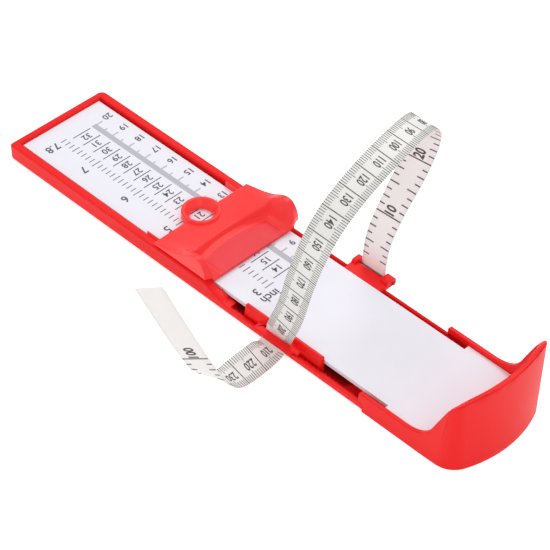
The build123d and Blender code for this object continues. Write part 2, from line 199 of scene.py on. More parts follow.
def moulded_red(colour):
    """Glossy injection-moulded polystyrene. The eye sees a saturated red with a soft, slightly
    wavy sheen, from shrink of the skin some 6 mm across, and a faint unevenness of colour."""
    material, tree = start_material("moulded polystyrene red")
    place = add_node(tree, "ShaderNodeTexCoord").outputs["Object"]
    skin = add_node(tree, "ShaderNodeTexNoise", {"Vector": place, "Scale": 160.0, "Detail": 3.0})
    shader = add_node(tree, "ShaderNodeBsdfPrincipled",
                      {"Base Color": uneven(tree, place, colour, 0.93, 60.0, 2.0),
                       "Roughness": 0.42, "IOR": 1.5, "Specular IOR Level": 0.16,
                       "Subsurface Weight": 0.06, "Subsurface Scale": 0.002,
                       "Normal": lifted_skin(tree, skin.outputs["Fac"], 0.25, 0.06 * MM)})
    close_material(tree, shader)
    return material


def clear_red(name, colour, cover=1.0):
    """Tinted clear polystyrene, moulded. The eye sees an even glossy red; a painted glow, a faint
    red emission over every face, lightens its shaded sides in place of light scattering inside.
    Where the moulding is thin, cover below 1 lets the print below show faintly instead, without the
    glow. A face seen from inside is clear."""
    material, tree = start_material(name)
    place = add_node(tree, "ShaderNodeTexCoord").outputs["Object"]
    skin = add_node(tree, "ShaderNodeTexNoise", {"Vector": place, "Scale": 220.0, "Detail": 2.0})
    # the emission strength is a painted glow that stands in for light scattering inside; thin
    # mouldings get none
    alpha, painted_glow = cover, 0.12
    if cover < 1.0:
        painted_glow = 0.0
        inside = add_node(tree, "ShaderNodeNewGeometry").outputs["Backfacing"]
        alpha = add_node(tree, "ShaderNodeMapRange", {"Value": inside, "To Min": cover,
                                                      "To Max": 0.0}).outputs["Result"]
    shader = add_node(tree, "ShaderNodeBsdfPrincipled",
                      {"Base Color": uneven(tree, place, colour, 0.93, 90.0, 2.0),
                       "Roughness": 0.3, "IOR": 1.5, "Specular IOR Level": 0.25, "Alpha": alpha,
                       "Emission Color": (1.0, 0.2, 0.2, 1.0), "Emission Strength": painted_glow,
                       "Normal": lifted_skin(tree, skin.outputs["Fac"], 0.25, 0.05 * MM)})
    close_material(tree, shader)
    return material


def printed_card(colour):
    """White rigid PVC sheet with a satin print varnish. The eye sees a cool white with hardly
    visible mottle up to some 8 mm across."""
    material, tree = start_material("satin PVC sheet white")
    place = add_node(tree, "ShaderNodeTexCoord").outputs["Object"]
    grain = add_node(tree, "ShaderNodeTexNoise", {"Vector": place, "Scale": 900.0, "Detail": 2.0})
    shader = add_node(tree, "ShaderNodeBsdfPrincipled",
                      {"Base Color": uneven(tree, place, colour, 0.965, 130.0, 4.0),
                       "Roughness": 0.5, "IOR": 1.5, "Specular IOR Level": 0.35,
                       "Normal": lifted_skin(tree, grain.outputs["Fac"], 0.15, 0.02 * MM)})
    close_material(tree, shader)
    return material


def print_ink(name, colour):
    """Screen-printed ink. The eye sees matt dark marks whose density varies a little."""
    material, tree = start_material(name)
    place = add_node(tree, "ShaderNodeTexCoord").outputs["Object"]
    shader = add_node(tree, "ShaderNodeBsdfPrincipled",
                      {"Base Color": uneven(tree, place, colour, 0.85, 700.0, 2.0),
                       "Roughness": 0.7, "IOR": 1.45})
    close_material(tree, shader)
    return material


WEAVE_SHOWN = 6.3165 * MM   # the wave texture repeats every 2 pi / (20 * scale)


def coated_cloth(name, colour):
    """Vinyl-coated glass-fibre cloth. The eye sees a plain satin band. Its weave of 0.5 mm a thread
    is too fine to show, and a faint ripple of WEAVE_SHOWN along the band stands for it."""
    material, tree = start_material(name)
    place = add_node(tree, "ShaderNodeUVMap", uv_map="band").outputs["UV"]
    along = add_node(tree, "ShaderNodeTexWave",
                     {"Vector": place, "Scale": 2 * math.pi / (20 * WEAVE_SHOWN),
                      "Distortion": 1.5, "Detail": 1.0}, bands_direction="X")
    shader = add_node(tree, "ShaderNodeBsdfPrincipled",
                      {"Base Color": uneven(tree, place, colour, 0.95, 120.0, 3.0),
                       "Roughness": 0.45, "IOR": 1.5,
                       "Normal": lifted_skin(tree, along.outputs["Fac"], 0.12, 0.03 * MM)})
    close_material(tree, shader)
    return material


def drawn_steel(colour):
    """Drawn steel wire, bright. The eye sees a dull grey glint with fine lines along the pin."""
    material, tree = start_material("drawn steel wire")
    place = add_node(tree, "ShaderNodeTexCoord").outputs["Object"]
    stretch = add_node(tree, "ShaderNodeMapping", {"Vector": place, "Scale": (60.0, 4000.0, 4000.0)})
    lines = add_node(tree, "ShaderNodeTexNoise", {"Vector": stretch.outputs["Vector"], "Scale": 1.0})
    rough = add_node(tree, "ShaderNodeMapRange", {"Value": lines.outputs["Fac"], "To Min": 0.3,
                                                  "To Max": 0.5})
    shader = add_node(tree, "ShaderNodeBsdfPrincipled",
                      {"Base Color": opaque(colour), "Metallic": 1.0,
                       "Roughness": rough.outputs["Result"]})
    close_material(tree, shader)
    return material


# ---------------------------------------------------------------- mesh building
def put_mesh(name, points, faces, outward=True, sharp=35.0):
    """An object from arrays of points in metres and faces, each an index list. Where outward is
    set, doubles are merged and the normals of the closed shells are turned outwards."""
    mesh = bpy.data.meshes.new(name)
    mesh.from_pydata(np.asarray(points).tolist(), [], faces)
    if outward:
        work = bmesh.new()
        work.from_mesh(mesh)
        bmesh.ops.remove_doubles(work, verts=work.verts, dist=1e-7)
        bmesh.ops.recalc_face_normals(work, faces=work.faces)
        work.to_mesh(mesh)
        work.free()
    mesh.shade_smooth()
    mesh.set_sharp_from_angle(angle=math.radians(sharp))
    made = bpy.data.objects.new(name, mesh)
    bpy.context.scene.collection.objects.link(made)
    return made


def grid_faces(rows, columns, wrap=False, start=0):
    """Quads of a grid of points in row order: each joins a point, its neighbour across and the two
    above them. With wrap, the last column joins the first."""
    row = np.arange(rows - 1)[:, None]
    column = np.arange(columns if wrap else columns - 1)[None, :]
    after = (column + 1) % columns
    quads = np.stack([row * columns + column, row * columns + after,
                      (row + 1) * columns + after, (row + 1) * columns + column], -1)
    return (quads.reshape(-1, 4) + start).tolist()


def blocks(x0, x1, y0, y1, z0, z1):
    """Corner points and faces of many blocks at once, from arrays of their lowest and highest
    coordinates. Corner number is 4 for high x, 2 for high y and 1 for high z, added up."""
    x0, x1, y0, y1, z0, z1 = np.broadcast_arrays(
        *(np.atleast_1d(np.asarray(value, float)) for value in (x0, x1, y0, y1, z0, z1)))
    corner = np.arange(8)
    points = np.stack([np.where(corner & 4, x1[:, None], x0[:, None]),
                       np.where(corner & 2, y1[:, None], y0[:, None]),
                       np.where(corner & 1, z1[:, None], z0[:, None])], -1)
    pattern = np.array([[0, 1, 3, 2], [4, 6, 7, 5], [0, 4, 5, 1], [2, 3, 7, 6], [0, 2, 6, 4],
                        [1, 5, 7, 3]])
    faces = pattern[None] + 8 * np.arange(len(x0))[:, None, None]
    return points.reshape(-1, 3), faces.reshape(-1, 4).tolist()


def joined(parts):
    """Joins (points, faces) pairs into one pair."""
    points, faces, start = [], [], 0
    for some_points, some_faces in parts:
        points.append(np.asarray(some_points, float))
        faces.extend([[index + start for index in face] for face in some_faces])
        start += len(some_points)
    return np.concatenate(points), faces


def lettering(words, height, thick, narrow=1.0, bold=0.012):
    """A number as a closed slab centred on the origin, reading along +x with its top to +y: the
    built-in font's outline, grown by bold as a share of its size, scaled to the height of its
    digits, with narrow for its width."""
    curve = bpy.data.curves.new("lettering", "FONT")
    curve.body = words
    curve.size = 1.0
    curve.extrude = 0.5
    curve.offset = bold
    curve.resolution_u = 3
    holder = bpy.data.objects.new("lettering", curve)
    mesh = bpy.data.meshes.new_from_object(holder)
    points = np.empty(3 * len(mesh.vertices))
    mesh.vertices.foreach_get("co", points)
    points = points.reshape(-1, 3)
    faces = [list(face.vertices) for face in mesh.polygons]
    bpy.data.objects.remove(holder)
    bpy.data.curves.remove(curve)
    bpy.data.meshes.remove(mesh)
    low, high = points.min(0), points.max(0)
    middle = (low + high) / 2
    scale = height / (high[1] - low[1])
    points = (points - middle) * (scale * narrow, scale, thick)
    return points, faces


def merged_copy(node, name, flat=0.4):
    """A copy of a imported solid's mesh with its doubles merged and its flat areas made one face,
    where faces turn by less than an angle in degrees."""
    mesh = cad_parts[node].data.copy()
    mesh.name = name
    work = bmesh.new()
    work.from_mesh(mesh)
    bmesh.ops.remove_doubles(work, verts=work.verts, dist=3e-6)
    bmesh.ops.dissolve_limit(work, angle_limit=math.radians(flat), verts=work.verts,
                             edges=work.edges)
    work.to_mesh(mesh)
    work.free()
    mesh.materials.clear()
    made = bpy.data.objects.new(name, mesh)
    bpy.context.scene.collection.objects.link(made)
    return made


def edge_ends(mesh):
    """End points of every edge, as an array of edges by ends by coordinates, in metres."""
    points = np.empty(3 * len(mesh.vertices))
    mesh.vertices.foreach_get("co", points)
    ends = np.empty(2 * len(mesh.edges), dtype=np.int32)
    mesh.edges.foreach_get("vertices", ends)
    return points.reshape(-1, 3)[ends.reshape(-1, 2)]


def round_edges(piece, weights, width, segments=3):
    """Rounds the edges that have a weight, each by its weight times the width."""
    mesh = piece.data
    layer = mesh.attributes.new("bevel_weight_edge", "FLOAT", "EDGE")
    layer.data.foreach_set("value", np.asarray(weights, np.float32))
    mesh.shade_smooth()
    mesh.set_sharp_from_angle(angle=math.radians(32))
    bevel = piece.modifiers.new("rounded edges", "BEVEL")
    bevel.limit_method = "WEIGHT"
    bevel.width = width
    bevel.segments = segments
    bevel.use_clamp_overlap = False
    bevel.harden_normals = True
    return piece


def sharp_edges(mesh, angle=32.0):
    """True for each edge whose two faces turn by more than an angle."""
    work = bmesh.new()
    work.from_mesh(mesh)
    found = np.array([len(edge.link_faces) == 2 and edge.calc_face_angle(0.0) > math.radians(angle)
                      for edge in work.edges])
    work.free()
    return found


def finish_piece(piece, materials, body, slot, *nodes):
    """Gives a piece its materials and body, and hides the solids it stands for. The finish slot is
    not used.
    """
    piece.data.materials.clear()
    for material in materials:
        piece.data.materials.append(material)
    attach(piece, body)
    if nodes:
        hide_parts(*nodes)
    return piece


# ---------------------------------------------------------------- stage
CAMERA_AZIMUTH, CAMERA_ELEVATION = 45.52, 43.18     # degrees
CAMERA_PLACE = (472.5, -459.45, 620.1)              # millimetres
CAMERA_LENS = 150.79                                # millimetres, on a sensor 36 mm wide
SHEET_HALF = 1.5                                    # metres
SHEET_POINTS = 13                                   # along each side of the sheet
BOARD_GLOW = 0.64           # lifts the board to white where the camera sees it
SKY_LIGHT = 0.66            # light from the surroundings; the camera sees them at 1


class GAUGE_OT_stage(bpy.types.Operator):
    """Camera, floor, soft studio lamps and white surroundings"""
    bl_idname = "gauge.stage"
    bl_label = "Stage"

    def execute(self, context):
        scene = context.scene
        scene.view_settings.view_transform = "Standard"
        azimuth, elevation = math.radians(CAMERA_AZIMUTH), math.radians(CAMERA_ELEVATION)
        back = np.array([math.cos(elevation) * math.sin(azimuth),
                         -math.cos(elevation) * math.cos(azimuth), math.sin(elevation)])
        right = np.array([math.cos(azimuth), math.sin(azimuth), 0.0])
        up = np.cross(back, right)
        place = np.array(CAMERA_PLACE) * MM
        lens = bpy.data.cameras.new("camera")
        lens.lens = CAMERA_LENS
        lens.sensor_width = 36.0
        lens.clip_start = 0.05
        lens.clip_end = 20.0
        camera = bpy.data.objects.new("camera", lens)
        turn = np.eye(4)
        turn[:3, :4] = np.stack([right, up, back, place], -1)
        camera.matrix_world = Matrix(turn.tolist())
        scene.collection.objects.link(camera)
        scene.camera = camera

        # A flat square sheet of even squares.
        side = np.linspace(-SHEET_HALF, SHEET_HALF, SHEET_POINTS)
        across, along = np.meshgrid(side, side)
        points = np.stack([across, along, np.zeros_like(across)], -1).reshape(-1, 3)
        floor = put_mesh("floor", points, grid_faces(SHEET_POINTS, SHEET_POINTS), outward=False)
        material, tree = start_material("matt studio board")
        colour = opaque(context.scene.gauge_colours.floor)
        ray = add_node(tree, "ShaderNodeLightPath").outputs
        seen = add_node(tree, "ShaderNodeMath", {0: ray["Is Camera Ray"], 1: ray["Is Glossy Ray"]},
                        operation="MAXIMUM")
        seen = add_node(tree, "ShaderNodeMath",
                        {0: seen.outputs[0], 1: ray["Is Transmission Ray"]}, operation="MAXIMUM")
        board = add_node(tree, "ShaderNodeBsdfDiffuse", {"Color": colour})
        glow = add_node(tree, "ShaderNodeEmission", {"Color": colour, "Strength": BOARD_GLOW})
        lifted = add_node(tree, "ShaderNodeAddShader")
        tree.links.new(board.outputs[0], lifted.inputs[0])
        tree.links.new(glow.outputs[0], lifted.inputs[1])
        mixed = add_node(tree, "ShaderNodeMixShader", {0: seen.outputs[0]})
        tree.links.new(board.outputs[0], mixed.inputs[1])
        tree.links.new(lifted.outputs[0], mixed.inputs[2])
        close_material(tree, mixed)
        floor.data.materials.append(material)

        world = bpy.data.worlds.new("studio")
        scene.world = world
        world.use_nodes = True
        world.node_tree.nodes.clear()
        ray = add_node(world.node_tree, "ShaderNodeLightPath").outputs
        strength = add_node(world.node_tree, "ShaderNodeMapRange",
                            {"Value": ray["Is Camera Ray"], "To Min": SKY_LIGHT, "To Max": 1.0})
        sky = add_node(world.node_tree, "ShaderNodeBackground",
                       {"Color": (1, 1, 1, 1), "Strength": strength.outputs["Result"]})
        add_node(world.node_tree, "ShaderNodeOutputWorld", {"Surface": sky.outputs[0]})

        lamps = (
            ("key softbox", (-0.35, 0.55, 0.85), 0.5, 2.85),
            ("front softbox", (0.75, -0.45, 0.75), 0.6, 1.75),
            ("side softbox", (-0.7, -0.7, 0.6), 0.6, 1.1),
        )
        for name, where, size, power in lamps:
            light = bpy.data.lights.new(name, "AREA")
            light.shape = "SQUARE"
            light.size = size
            light.energy = power
            lamp = bpy.data.objects.new(name, light)
            away = np.array(where) / np.linalg.norm(where)
            side = np.cross((0.0, 0.0, 1.0), away)
            side /= np.linalg.norm(side)
            turn = np.eye(4)
            turn[:3, :4] = np.stack([side, np.cross(away, side), away, where], -1)
            lamp.matrix_world = Matrix(turn.tolist())
            scene.collection.objects.link(lamp)
        return {"FINISHED"}


# ---------------------------------------------------------------- measuring tape
TAPE_WIDE = 12.5 * MM
TAPE_THICK = 0.4 * MM


def route_line():
    """Points along the tape's NURBS line, and their distances from its start."""
    curve = bpy.data.curves.new("tape route", "CURVE")
    curve.dimensions = "3D"
    spline = curve.splines.new("NURBS")
    spline.points.add(len(TAPE_ROUTE) - 1)
    spline.points.foreach_set("co", np.array([(*at, 1.0) for at in TAPE_ROUTE]).ravel())
    spline.order_u = 3
    spline.use_endpoint_u = True
    spline.resolution_u = 24
    curve.resolution_u = 24
    holder = bpy.data.objects.new("tape route", curve)
    mesh = bpy.data.meshes.new_from_object(holder)
    points = np.empty(3 * len(mesh.vertices))
    mesh.vertices.foreach_get("co", points)
    bpy.data.objects.remove(holder)
    bpy.data.curves.remove(curve)
    bpy.data.meshes.remove(mesh)
    points = points.reshape(-1, 3)
    steps = np.linalg.norm(np.diff(points, axis=0), axis=1)
    return points, np.concatenate([[0.0], np.cumsum(steps)])


def on_band(line, spots):
    """Places on the tape. Each spot is (distance along, distance across, distance off its middle
    plane): the line's point, plus across times the width direction, plus off times the normal. The
    width direction is TAPE_TURN's, made square to the line; the normal is line cross width."""
    points, distance = line
    spots = np.asarray(spots, float)
    along = np.clip(spots[:, 0], 0.0, distance[-1])

    def at(where):
        return np.stack([np.interp(where, distance, points[:, axis]) for axis in range(3)], -1)

    reach = 0.25 * MM
    ahead = at(np.minimum(along + reach, distance[-1])) - at(np.maximum(along - reach, 0.0))
    ahead /= np.linalg.norm(ahead, axis=1, keepdims=True)
    stations = np.array([row[0] for row in TAPE_TURN]) * MM
    turns = np.array([row[1] for row in TAPE_TURN])
    wide = np.stack([np.interp(along, stations, turns[:, axis]) for axis in range(3)], -1)
    wide -= ahead * np.sum(wide * ahead, axis=1, keepdims=True)
    wide /= np.linalg.norm(wide, axis=1, keepdims=True)
    normal = np.cross(ahead, wide)
    return at(along) + spots[:, 1:2] * wide + spots[:, 2:3] * normal


FRONT_ZERO = -2.05 * MM     # the front's mark k lies at k plus this much
BACK_ZERO = -0.4 * MM       # and the back's first mark at its own step plus this
HIDDEN = (207.5 * MM, 214.9 * MM)     # inside the bridge and outside the rail
FRONT_SHIFT = 6.4 * MM      # marks past the bridge lie this much further on
BACK_SHIFT = 6.5 * MM
BACK_LAST = 80              # the back's marks end here, at its hundred
BACK_STEP = 25.4 * MM / 8
MARK_SINK = 0.03 * MM       # how far the marks reach into the band
MARK_START = 4.0 * MM       # no marks nearer to the pin than this
MARK_END = 0.6 * MM         # nor nearer to the free end
STATION_STEP = 0.6 * MM     # length of the band's faces


class GAUGE_OT_tape(bpy.types.Operator):
    """Girth tape with its marks on both sides"""
    bl_idname = "gauge.tape"
    bl_label = "Tape"

    def execute(self, context):
        sizes = context.scene.gauge_sizes
        colours = context.scene.gauge_colours
        line = route_line()
        length = line[1][-1]
        half, thick = TAPE_WIDE / 2, TAPE_THICK / 2
        face = half - 0.15 * MM     # half the flat face, inside the pointed edges
        # Cross-section: across and off the middle plane, front side first.
        section = np.array([(-face, thick), (-half / 2, thick), (0, thick), (half / 2, thick),
                            (face, thick), (half, 0), (face, -thick), (half / 2, -thick),
                            (0, -thick), (-half / 2, -thick), (-face, -thick), (-half, 0)])
        stations = np.linspace(0, length, int(length / STATION_STEP))
        rows, columns = len(stations), len(section)
        spots = np.empty((rows, columns, 3))
        spots[:, :, 0] = stations[:, None]
        spots[:, :, 1:] = section
        faces = grid_faces(rows, columns, wrap=True)
        faces.append(list(range(columns)))
        faces.append(list(range((rows - 1) * columns, rows * columns))[::-1])
        flat = spots.reshape(-1, 3)
        band = put_mesh("measuring_tape_band", on_band(line, flat), faces, sharp=60.0)
        indices = np.empty(len(band.data.loops), dtype=np.int32)
        band.data.loops.foreach_get("vertex_index", indices)
        band.data.uv_layers.new(name="band").data.foreach_set("uv", flat[indices, :2].ravel())
        kind = np.ones(len(band.data.polygons), dtype=np.int32)
        kind[:(rows - 1) * columns].reshape(rows - 1, columns)[:, :4] = 0
        front = coated_cloth("coated cloth front", colours.tape_front)
        back = coated_cloth("coated cloth back", colours.tape_back)
        finish_piece(band, (front, back), "carriage", "tape_band", "measuring_tape")
        band.data.polygons.foreach_set("material_index", kind)
        ink = print_ink("tape screen ink", colours.tape_ink)
        front_marks = self.front_marks(line, length, sizes)
        back_marks = self.back_marks(line, length, sizes)
        for piece in (front_marks, back_marks):
            finish_piece(piece, (ink,), "carriage", "tape_band")
        return {"FINISHED"}

    def front_marks(self, line, length, sizes):
        """Millimetre ticks along both edges, a line across every 10 mm, and numbers in between."""
        half, thick = TAPE_WIDE / 2, TAPE_THICK / 2
        low, high = thick - MARK_SINK, thick + sizes.ink_thick
        marks = np.arange(0, 320)
        place = marks * MM + FRONT_ZERO
        place = np.where(place > HIDDEN[0], place + FRONT_SHIFT, place)
        tens = (marks % 10 == 0) & (marks > 0) & (place < length - 8.0 * MM)
        numbers = list(zip(marks[tens], place[tens] + 4.0 * MM))
        seen = (place > MARK_START) & (place < length - MARK_END)
        seen &= (place < HIDDEN[0]) | (place > HIDDEN[1])
        marks, place = marks[seen], place[seen]
        reach = np.where(marks % 5 == 0, 3.8, 2.9) * MM
        ticks = marks % 10 != 0
        wide, fine = 0.35 * MM / 2, 0.2 * MM / 2
        edge = half - 0.05 * MM
        parts = [
            blocks(place[ticks] - fine, place[ticks] + fine, -edge, -edge + reach[ticks], low, high),
            blocks(place[ticks] - fine, place[ticks] + fine, edge - reach[ticks], edge, low, high),
            blocks(place[~ticks] - wide, place[~ticks] + wide, -edge, edge, low, high),
        ]
        for mark, middle in numbers:
            if HIDDEN[0] - 1.0 * MM < middle < HIDDEN[1]:
                continue
            points, faces = lettering(str(mark), sizes.tape_digit_high, high - low, 0.66, 0.015)
            parts.append((points + (middle, 0.3 * MM, (low + high) / 2), faces))
        points, faces = joined(parts)
        return put_mesh("tape_front_marks", on_band(line, points), faces)

    def back_marks(self, line, length, sizes):
        """Eighths of an inch along both edges, quarters and halves longer, a line across every inch,
        and its number behind it."""
        half, thick = TAPE_WIDE / 2, TAPE_THICK / 2
        low, high = -thick - sizes.ink_thick, -thick + MARK_SINK
        marks = np.arange(1, BACK_LAST + 1)
        place = marks * BACK_STEP + BACK_ZERO
        place = np.where(place > HIDDEN[0], place + BACK_SHIFT, place)
        seen = (place > MARK_START) & (place < length - MARK_END)
        seen &= (place < HIDDEN[0]) | (place > HIDDEN[1])
        marks, place = marks[seen], place[seen]
        reach = np.where(marks % 4 == 0, 4.1, np.where(marks % 2 == 0, 3.0, 2.3)) * MM
        ticks = marks % 8 != 0
        wide = 0.5 * MM / 2
        edge = half - 0.35 * MM
        parts = [
            blocks(place[ticks] - wide, place[ticks] + wide, -edge, -edge + reach[ticks], low, high),
            blocks(place[ticks] - wide, place[ticks] + wide, edge - reach[ticks], edge, low, high),
            blocks(place[~ticks] - wide, place[~ticks] + wide, -edge, edge, low, high),
        ]
        for mark, where in zip(marks[~ticks], place[~ticks]):
            words = str(mark // 8 * 10)
            points, faces = lettering(words, 4.7 * MM, high - low, 0.68, 0.03)
            middle = where + points[:, 0].max() + 0.6 * MM
            if middle + 4.0 * MM > length or HIDDEN[0] - 1.0 * MM < middle < HIDDEN[1]:
                continue
            points = points * (1, -1, -1) + (middle, -0.1 * MM, (low + high) / 2)
            parts.append((points, faces))
        points, faces = joined(parts)
        return put_mesh("tape_back_marks", on_band(line, points), faces)


# ---------------------------------------------------------------- base tray
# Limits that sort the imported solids' edges, in millimetres.
LEVEL = 0.02                # an edge lies on a level if it is this close
FRAME_TOP = 8.5
SIDE_Y = 25.4               # further out is a side face
TOE_END_X = -120.9          # further towards the toe is the toe end with its corners
RAIL_LOW = 3.98             # the rails' top edges lie above this
TRAY_FOOT_X = 75.9          # the cup's foot goes on from here


class GAUGE_OT_tray(bpy.types.Operator):
    """Moulded tray with rounded rims"""
    bl_idname = "gauge.tray"
    bl_label = "Tray"

    def execute(self, context):
        sizes = context.scene.gauge_sizes
        tray = merged_copy("base_tray", "base_tray_moulded")
        ends = edge_ends(tray.data) / MM
        middle = ends.mean(1)
        sharp = sharp_edges(tray.data)
        top = np.all(np.abs(ends[:, :, 2] - FRAME_TOP) < LEVEL, axis=1)
        outer = np.all(np.abs(ends[:, :, 1]) > SIDE_Y, axis=1)
        outer |= np.all(ends[:, :, 0] < TOE_END_X, axis=1)
        rail = (ends[:, :, 2].min(1) > RAIL_LOW) & (np.abs(middle[:, 1]) > SIDE_Y) & ~top
        foot = np.all(ends[:, :, 2] < LEVEL, axis=1) & outer & (middle[:, 0] < TRAY_FOOT_X)
        weights = np.zeros(len(sharp))
        # Shares of the rim rounding for the outer rim, the inner rim, the rails and the foot.
        for chosen, share in ((top & outer, 1.0), (top & ~outer, 0.9), (rail, 0.5), (foot, 2.2)):
            weights[sharp & chosen] = share
        round_edges(tray, weights, sizes.rim_round)
        finish_piece(tray, (bpy.data.materials["moulded polystyrene red"],), "gauge", "red_plastic",
                     "base_tray")
        return {"FINISHED"}


# ---------------------------------------------------------------- scale plate
CM_ZERO_X = 88.3            # place of the centimetre scale's zero
EDGE_Y = 12.95              # line that the long centimetre ticks reach
BAR_Y = EDGE_Y - 4.3        # middle line of the grey bar
BAR_HALF = 1.25
PLATE_FACE = 6.7            # printed face above the resting face
PRINT_LOW = 6.68            # the marks start just inside the plate
LADDER_X = CM_ZERO_X - 200.05   # place of 32.5 on the shoe size ladder
LADDER_STEP = 6.25
INCH_DIGITS = 4.1           # height of the inch row's digits


class GAUGE_OT_plate(bpy.types.Operator):
    """Scale plate with its printed ticks, bar and digits"""
    bl_idname = "gauge.plate"
    bl_label = "Scale plate"

    def execute(self, context):
        sizes = context.scene.gauge_sizes
        colours = context.scene.gauge_colours
        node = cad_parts["scale_plate"]
        card = printed_card(colours.card)
        for material_slot in node.material_slots:
            material_slot.material = card
        ink = print_ink("plate screen ink", colours.plate_ink)
        pale = print_ink("plate grey ink", colours.plate_bar)
        bar = self.bar(sizes)
        finish_piece(bar, (pale,), "gauge", "white_plate")
        marks = self.marks(sizes)
        finish_piece(marks, (ink,), "gauge", "white_plate")
        return {"FINISHED"}

    def bar(self, sizes):
        """Grey bar along the far side and its ticks, centimetres long and halves short."""
        low, high = PRINT_LOW, PLATE_FACE + sizes.ink_thick / MM / 2
        whole = CM_ZERO_X - 10.0 * np.arange(8, 21)
        halves = CM_ZERO_X - 10.0 * np.arange(8, 20) - 5.0
        parts = [
            blocks(-112.3, CM_ZERO_X - 78.0, BAR_Y - BAR_HALF, BAR_Y + BAR_HALF, low, high),
            blocks(whole - 0.35, whole + 0.35, BAR_Y, EDGE_Y, low, high + 0.01),
            blocks(halves - 0.3, halves + 0.3, BAR_Y, EDGE_Y - 1.6, low, high + 0.01),
        ]
        points, faces = joined(parts)
        return put_mesh("plate_bar_print", points * MM, faces)

    def marks(self, sizes):
        """Centimetre numbers, the shoe size ladder, inch ticks and inch numbers. A number's text
        axes (x, y) lie along the plate's (-Y, +X)."""
        low, high = PRINT_LOW, PLATE_FACE + sizes.ink_thick / MM
        tall = sizes.digit_high / MM
        parts = []

        def number(words, x, y, height=tall, narrow=0.95):
            points, faces = lettering(words, height, high - low, narrow)
            turned = np.stack([points[:, 1] + x, y - points[:, 0],
                               points[:, 2] + (low + high) / 2], -1)
            parts.append((turned, faces))

        for count in range(8, 21):
            number(str(count), CM_ZERO_X - 10.0 * count - 1.0, EDGE_Y + 3.6)
        lines = LADDER_X - LADDER_STEP * (np.arange(13.5, 33.0, 1.0) - 32.5)
        parts.append(blocks(lines - 0.2, lines + 0.2, EDGE_Y - 16.1, EDGE_Y - 6.7, low, high))
        for count in range(14, 33):
            x = LADDER_X - LADDER_STEP * (count - 32.5)
            number(str(count), x, EDGE_Y - 11.4)
        tenths = np.arange(30, 79)
        x = CM_ZERO_X - 2.54 * tenths - 3.4
        long = np.where(tenths % 10 == 0, 4.7, np.where(tenths % 5 == 0, 4.0, 3.0))
        middle_y = EDGE_Y - 20.0
        parts.append(blocks(x - 0.17, x + 0.17, middle_y - long / 2, middle_y + long / 2, low, high))
        for count in (3, 4, 5, 6, 7):
            number(str(count), CM_ZERO_X - 25.4 * count - 3.9, middle_y - 6.3, INCH_DIGITS)
        number("7.8", -112.7, middle_y - 6.3, INCH_DIGITS)
        number("inch", 13.5, middle_y - 3.8, INCH_DIGITS, 0.92)
        points, faces = joined(parts)
        return put_mesh("plate_scale_print", points * MM, faces)


# ---------------------------------------------------------------- heel cup
CUP_UPPER = 8.3             # the cup's upper edges lie above this
CUP_FOOT_X = 76.3           # its foot is rounded from here
SEAT_Y, SEAT_END_X = 18.4, 105.0    # the seats below it stay sharp
CUP_ROUND = 0.4 * MM


class GAUGE_OT_cup(bpy.types.Operator):
    """Heel cup with rounded top edges"""
    bl_idname = "gauge.cup"
    bl_label = "Heel cup"

    def execute(self, context):
        cup = merged_copy("heel_cup", "heel_cup_moulded", flat=0.08)
        ends = edge_ends(cup.data) / MM
        sharp = sharp_edges(cup.data)
        high = np.all(ends[:, :, 2] > CUP_UPPER, axis=1)
        start_x = ends[:, :, 0].min(1)
        foot = np.all(ends[:, :, 2] < LEVEL, axis=1) & (start_x > CUP_FOOT_X)
        foot &= (np.abs(ends[:, :, 1]).min(1) > SEAT_Y) | (start_x > SEAT_END_X)
        weights = np.where(sharp & (high | foot), 1.0, 0.0)
        round_edges(cup, weights, CUP_ROUND)
        finish_piece(cup, (bpy.data.materials["moulded polystyrene red"],), "gauge", "red_plastic",
                     "heel_cup")
        return {"FINISHED"}


# ---------------------------------------------------------------- toe slider
# Wing outline: x and height along each side of the slider, in millimetres.
WING = np.array([(-38.4, 9.6), (-36.3, 10.2), (-33.3, 10.8), (-29.6, 11.6), (-25.9, 12.7),
                 (-22.2, 14.2), (-18.6, 16.3), (-16.5, 17.4), (-14.0, 18.0), (-11.9, 17.7),
                 (-10.1, 16.7), (-8.7, 14.9), (-7.8, 13.0), (-7.3, 11.4)])
RING_X, RING_Y = -38.4, 1.0
FRONT_X, HEEL_X = -38.4, -7.3
RING_REACH = 6.9            # radius at which the deck's front edge meets the ring
UNDERSIDE = 7.1             # of the deck, above the plate
FLOOR_TOP = 8.4             # of the thin floor behind the toe wall
FRONT_HIGH = 9.8            # of the ramp's front edge


def smooth_step(value):
    """Rises from 0 to 1 as 3v squared minus 2v cubed, level at both ends."""
    value = np.clip(value, 0.0, 1.0)
    return value * value * (3.0 - 2.0 * value)


